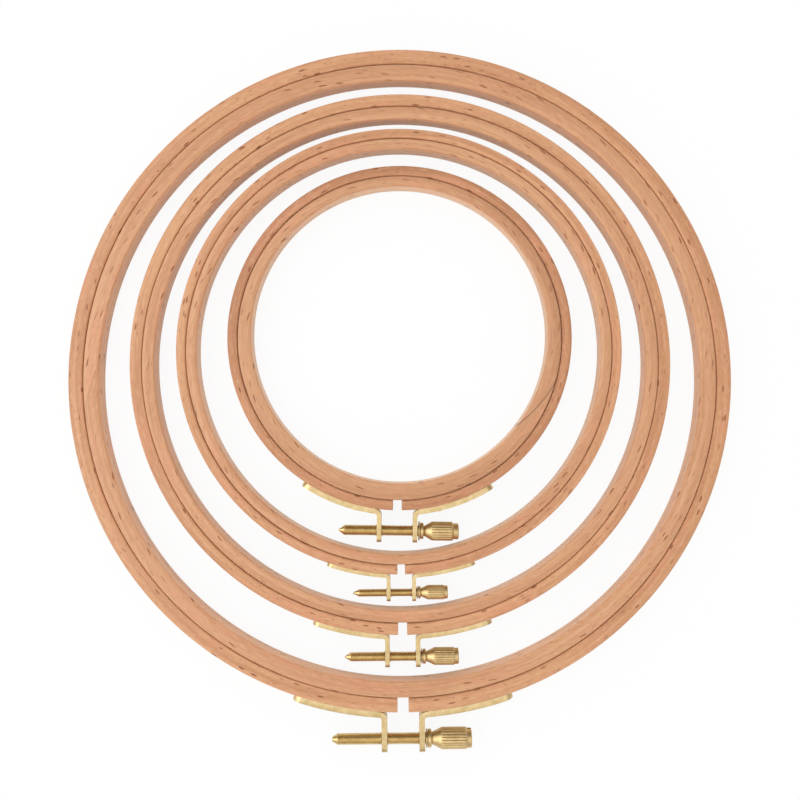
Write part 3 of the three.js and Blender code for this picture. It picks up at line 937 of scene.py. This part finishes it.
def at_a_hole(edge, path):
    """Whether an edge lies on the rim of the screw's hole or of the pin's."""
    middle = (edge.verts[0].co + edge.verts[1].co) / 2
    from_screw = math.hypot(middle.x - path.to_hole, middle.z)
    from_pin = math.hypot(middle.x - path.to_pin, middle.z)
    return from_screw < path.fit["burr_radius"] or from_pin < path.fit["pin_head_radius"]


def raise_burr(shape, path, lip, foot):
    """Lifts the metal round the screw's hole, most at the lip and not at all at the foot."""
    for vertex in shape.verts:
        distance = math.hypot(vertex.co.x - path.to_hole, vertex.co.z)
        share = (foot - distance) / (foot - lip)
        if share > 0:
            lift = path.fit["burr_height"] * min(share, 1.0)
            vertex.co.y += math.copysign(lift, vertex.co.y)


def bracket(hoop, side):
    path = BentPath(hoop)
    shape = flat_blank(path)
    for vertex in shape.verts:
        along, out, up = vertex.co
        on_ring = out < 0 and along < path.to_bend
        if on_ring:
            out -= STRIP_GAP - STRIP_SEAT
        x, y = path.point(along, out)
        vertex.co = (side * x, y, MIDDLE_HEIGHT + up)
    return shape


STRIP_TONES = (colour(230, 204, 154), colour(210, 182, 130))
STRIP_LINES = (1.2, 1.2, 0.25)
STRIP_ROUGHNESS = 0.25
for hoop in HOOPS:
    metal = brass(hoop, "strip", STRIP_LINES, STRIP_ROUGHNESS, STRIP_TONES)
    for side, part in ((-1, "threaded_bracket"), (1, "plain_bracket")):
        strip = finish_piece(bracket(hoop, side), hoop, part, "clamp_ring", metal)
    print(hoop.name, "bracket faces:", len(strip.data.polygons))

# %% [markdown]
# The pins hold the strips to the wood. Only their low domed heads show. A dome is a short arc,
# spun round the pin's own axis, which points straight out of the ring.

# %% Pins
PIN_STEPS = 24
PIN_SHANK = 2.0
PIN_MERGE = 0.001
DOME_RISE = 0.15
DOME_ANGLES = (0, 0.3, 0.6, 0.9, 1.2, 1.4)
PIN_LINES = (0.8, 0.8, 0.8)
PIN_ROUGHNESS = 0.3


def pin(hoop, side):
    fit = hoop.fit
    seat = hoop.radius + STRIP_GAP + fit["strip_thickness"]
    radius = fit["pin_head_radius"]
    height = fit["pin_head_height"] + DOME_RISE
    shape = bmesh.new()
    dome = [(radius * math.cos(angle), height * math.sin(angle)) for angle in DOME_ANGLES]
    profile = [(0, -PIN_SHANK), (radius / 2, -PIN_SHANK + radius / 2), (radius / 2, 0)]
    profile += dome + [(0, height)]
    geometry = chain(shape, [(r, 0, h) for r, h in profile])
    spun(shape, geometry, Z_AXIS, FULL_TURN, PIN_STEPS, closed=True)
    bmesh.ops.remove_doubles(shape, verts=shape.verts, dist=PIN_MERGE)
    angle = side * fit["pin_reach"] / hoop.radius
    outwards = Vector((math.sin(angle), -math.cos(angle), 0))
    lean = outwards.to_track_quat("Z", "Y").to_matrix().to_4x4()
    place = Matrix.Translation(outwards * seat + Vector((0, 0, MIDDLE_HEIGHT)))
    bmesh.ops.transform(shape, matrix=place @ lean, verts=shape.verts)
    return shape


for hoop in HOOPS:
    metal = brass(hoop, "pin", PIN_LINES, PIN_ROUGHNESS, STRIP_TONES)
    for side, part in ((-1, "threaded_side_pin"), (1, "plain_side_pin")):
        head = finish_piece(pin(hoop, side), hoop, part, "clamp_ring", metal)
    print(hoop.name, "pin faces:", len(head.data.polygons))

# %% [markdown]
# The thumb screw is one turning. Its thread is one tooth's outline, spun about the axis while it
# moves one pitch forward in each turn, which is just how a thread is cut. The neighbouring turns
# then share their vertices and are merged. The ends are cut square. From the cut at the tip, the
# open rim is extruded step by step down to the nose.

# %% Threaded rods
THREAD_STEPS = 28
NOSE_DEGREES = (15, 30, 45, 60, 75, 84)
WASHER_GAP = 0.15
ROD_IN_COLLAR = 0.4
SPARE_THREAD = 1
CUT_TOLERANCE = 1e-5
ON_CUT = 1e-3


class Screw:
    """Where things lie along a screw, in millimetres from the slit's middle line."""

    def __init__(self, hoop):
        fit = hoop.fit
        burr_top = fit["ear_offset"] + fit["strip_thickness"] / 2 + fit["burr_height"]
        self.washer = burr_top + WASHER_GAP
        self.collar = self.washer + fit["washer_thickness"] + WASHER_GAP
        self.cone = self.collar + fit["collar_length"]
        self.knurl = self.cone + fit["cone_length"]
        self.cap = self.knurl + fit["knurl_length"]
        self.end = self.cap + fit["cap_length"]
        self.tip = -(fit["ear_offset"] + fit["rod_tail"])
        self.axis_y = -(hoop.radius + fit["screw_drop"])

    def place(self, shape):
        bmesh.ops.translate(shape, vec=(0, self.axis_y, MIDDLE_HEIGHT), verts=shape.verts)
        return shape


def cut_square(shape, station, keep):
    """Cuts everything past a station along X, and returns the open rim."""
    bmesh.ops.bisect_plane(
        shape,
        geom=shape.verts[:] + shape.edges[:] + shape.faces[:],
        dist=CUT_TOLERANCE,
        plane_co=(station, 0, 0),
        plane_no=(-keep, 0, 0),
        clear_outer=True,
    )
    open_edges = [e for e in shape.edges if e.is_boundary]
    return [e for e in open_edges if all(abs(v.co.x - station) < ON_CUT for v in e.verts)]


def extruded_rim(shape, rim, station, radius):
    """Extrudes an open rim to a circle of some radius further along the axis."""
    made = bmesh.ops.extrude_edge_only(shape, edges=rim)
    for vertex in (item for item in made["geom"] if isinstance(item, bmesh.types.BMVert)):
        across = Vector((0, vertex.co.y, vertex.co.z)).normalized() * radius
        vertex.co = (station, across.y, across.z)
    return [item for item in made["geom"] if isinstance(item, bmesh.types.BMEdge)]


def threaded_rod(hoop):
    fit, at = hoop.fit, Screw(hoop)
    pitch, depth, crest = fit["thread_pitch"], fit["thread_depth"], fit["rod_radius"]
    root = crest - depth
    shoulder = at.tip + fit["nose_length"] + fit["nose_shoulder"]
    start = at.tip - pitch
    turns = math.ceil((at.collar + SPARE_THREAD - start) / pitch)
    # One tooth's outline, in shares of the pitch
    outline = [(-0.1, root), (0.1, root), (0.4, crest), (0.6, crest), (0.9, root)]
    shape = bmesh.new()
    tooth = chain(shape, [(start + share * pitch, 0, radius) for share, radius in outline])
    advance = (pitch / THREAD_STEPS, 0, 0)
    spun(shape, tooth, X_AXIS, FULL_TURN, THREAD_STEPS, advance)
    repeated(shape, turns, advance=(pitch, 0, 0))
    end_rim = cut_square(shape, at.collar + ROD_IN_COLLAR, -1)
    bmesh.ops.edgeloop_fill(shape, edges=end_rim)
    rim = cut_square(shape, shoulder, 1)
    nose, rounding = fit["nose_radius"], fit["nose_rounding"]
    tip_profile = [(shoulder - fit["nose_shoulder"], nose), (at.tip + rounding, nose)]
    for degrees in NOSE_DEGREES:
        angle = math.radians(degrees)
        drop = rounding * (1 - math.sin(angle))
        tip_profile.append((at.tip + drop, nose - rounding * (1 - math.cos(angle))))
    for station, radius in tip_profile:
        rim = extruded_rim(shape, rim, station, radius)
    bmesh.ops.edgeloop_fill(shape, edges=rim)
    return at.place(shape)


ROD_TONES = (colour(230, 202, 144), colour(214, 184, 124))
ROD_LINES = (0.16, 1.6, 1.6)
ROD_ROUGHNESS = 0.24
for hoop in HOOPS:
    metal = brass(hoop, "rod", ROD_LINES, ROD_ROUGHNESS, ROD_TONES)
    rod = threaded_rod(hoop)
    piece = finish_piece(rod, hoop, "thumb_screw", "screw_body", metal, "rod")
    print(hoop.name, "rod faces:", len(piece.data.polygons))

# %% [markdown]
# The head is one turning: collar, waist, cone, grip and cap are one outline, spun about the axis.
# One flute is then pressed into the grip. A flute is straight, so each vertex is only pushed in
# where it stands outside the fluted bar. On the cone, this gives the scalloped ends by itself. The
# fluted share is repeated round the head, and a slot for a screwdriver is cut last, with a boolean.

# %% Screw heads
FACETS_PER_FLUTE = 10
CONE_STEPS = 22
GRIP_SHARES = (0.2, 0.5, 0.8)
CAP_STEPS = 6
CAP_SLOPE = 1.6
WAIST_ROUNDING = 0.15
CROWN_FALL = 0.1
GROOVE_SHARE = 0.42
GROOVE_DEPTH = 0.4
GROOVE_POWER = 1.3
HAIR = 0.01


def head_profile(fit, at):
    """The head's outline as (station, radius) pairs, with closely spaced points on the cone."""
    collar, soft = fit["collar_radius"], fit["collar_rounding"]
    grip, cap, waist = fit["knurl_radius"], fit["cap_radius"], fit["waist_radius"]
    rising = arc((0, 0), soft, 90, 0)
    falling = arc((0, 0), soft, 0, 90)
    points = [(at.collar, 0)]
    points += [(at.collar + soft - x, collar - soft + r) for r, x in rising]
    points += [(at.cone - soft + x, collar - soft + r) for r, x in falling]
    points.append((at.cone, waist + WAIST_ROUNDING))
    for step in range(1, CONE_STEPS + 1):
        share = step / CONE_STEPS
        points.append((at.cone + (at.knurl - at.cone) * share, waist + (grip - waist) * share))
    points += [(at.knurl + (at.cap - at.knurl) * share, grip) for share in GRIP_SHARES]
    slope = fit["flute_depth"] * CAP_SLOPE
    for step in range(CAP_STEPS + 1):
        share = step / CAP_STEPS
        points.append((at.cap - slope * (1 - share), grip + (cap - grip) * share))
    points += [(at.end - soft + x, cap - soft + r) for r, x in falling]
    points.append((at.end, 0))
    return points


def flute_radius(fit, flutes, angle):
    """The radius of the fluted bar at an angle: broad rounded ridges and narrow grooves."""
    share = abs((angle / FULL_TURN * flutes) % 1 - 0.5) * 2
    crown = fit["knurl_radius"] - CROWN_FALL * fit["flute_depth"] * (1 - share) ** 2
    groove = max(0.0, 1 - share / GROOVE_SHARE)
    return crown - GROOVE_DEPTH * fit["flute_depth"] * groove**GROOVE_POWER


def screw_head(hoop):
    fit, at = hoop.fit, Screw(hoop)
    shape = bmesh.new()
    outline = chain(shape, [(x, radius, 0) for x, radius in head_profile(fit, at)])
    share = FULL_TURN / hoop.flutes
    spun(shape, outline, X_AXIS, share, FACETS_PER_FLUTE)
    for vertex in shape.verts:
        radius = math.hypot(vertex.co.y, vertex.co.z)
        limit = flute_radius(fit, hoop.flutes, math.atan2(vertex.co.z, vertex.co.y))
        if vertex.co.x >= at.cone + HAIR and radius > limit:
            vertex.co.yz = vertex.co.yz * (limit / radius)
    repeated(shape, hoop.flutes, turn=share, axis="X")
    return at.place(shape)


def cut_slot(piece, hoop):
    """Cuts the screwdriver's slot into the cap with a boolean, and applies it."""
    fit, at = hoop.fit, Screw(hoop)
    cutter = bmesh.new()
    # The cutter's middle lies on the cap's end, so only half of its length cuts in
    bmesh.ops.create_cube(cutter, size=1)
    size = (fit["slot_depth"] * 2, fit["cap_radius"] * 3, fit["slot_width"])
    bmesh.ops.scale(cutter, vec=size, verts=cutter.verts)
    bmesh.ops.translate(cutter, vec=(at.end, at.axis_y, MIDDLE_HEIGHT), verts=cutter.verts)
    tool = as_object(cutter, hoop, "slot_cutter")
    cut = piece.modifiers.new("slot", "BOOLEAN")
    cut.operation = "DIFFERENCE"
    cut.object = tool
    cut.solver = "EXACT"
    bpy.context.view_layer.update()
    shown = piece.evaluated_get(bpy.context.evaluated_depsgraph_get())
    whole = piece.data
    piece.data = bpy.data.meshes.new_from_object(shown)
    piece.modifiers.clear()
    bpy.data.objects.remove(tool)
    bpy.data.meshes.remove(whole)


HEAD_TONES = (colour(232, 204, 150), colour(218, 186, 132))
HEAD_LINES = (0.14, 1.8, 1.8)
HEAD_ROUGHNESS = 0.38
for hoop in HOOPS:
    metal = brass(hoop, "head", HEAD_LINES, HEAD_ROUGHNESS, HEAD_TONES)
    head = screw_head(hoop)
    piece = finish_piece(head, hoop, "thumb_screw", "screw_body", metal, "head")
    cut_slot(piece, hoop)
    print(hoop.name, "head faces:", len(piece.data.polygons))

# %% [markdown]
# The washer is a thin disc between the plain ear and the collar. Its section is spun like a ring's.

# %% Washers
WASHER_STEPS = 64
WASHER_LINES = (0.3, 1.2, 1.2)
WASHER_ROUGHNESS = 0.3


def washer(hoop):
    fit, at = hoop.fit, Screw(hoop)
    bore = fit["rod_radius"] + ROD_ROOM
    thickness = fit["washer_thickness"]
    soft = thickness / 4
    outer = fit["washer_radius"]
    section = [(at.washer, bore), (at.washer, outer - soft), (at.washer + soft, outer)]
    far = at.washer + thickness
    section += [(far - soft, outer), (far, outer - soft), (far, bore)]
    shape = bmesh.new()
    geometry = chain(shape, [(x, 0, radius) for x, radius in section], closed=True)
    spun(shape, geometry, X_AXIS, FULL_TURN, WASHER_STEPS, closed=True)
    return at.place(shape)


for hoop in HOOPS:
    metal = brass(hoop, "washer", WASHER_LINES, WASHER_ROUGHNESS, ROD_TONES)
    disc = finish_piece(washer(hoop), hoop, "washer", "washer_body", metal)
    print(hoop.name, "washer faces:", len(disc.data.polygons))
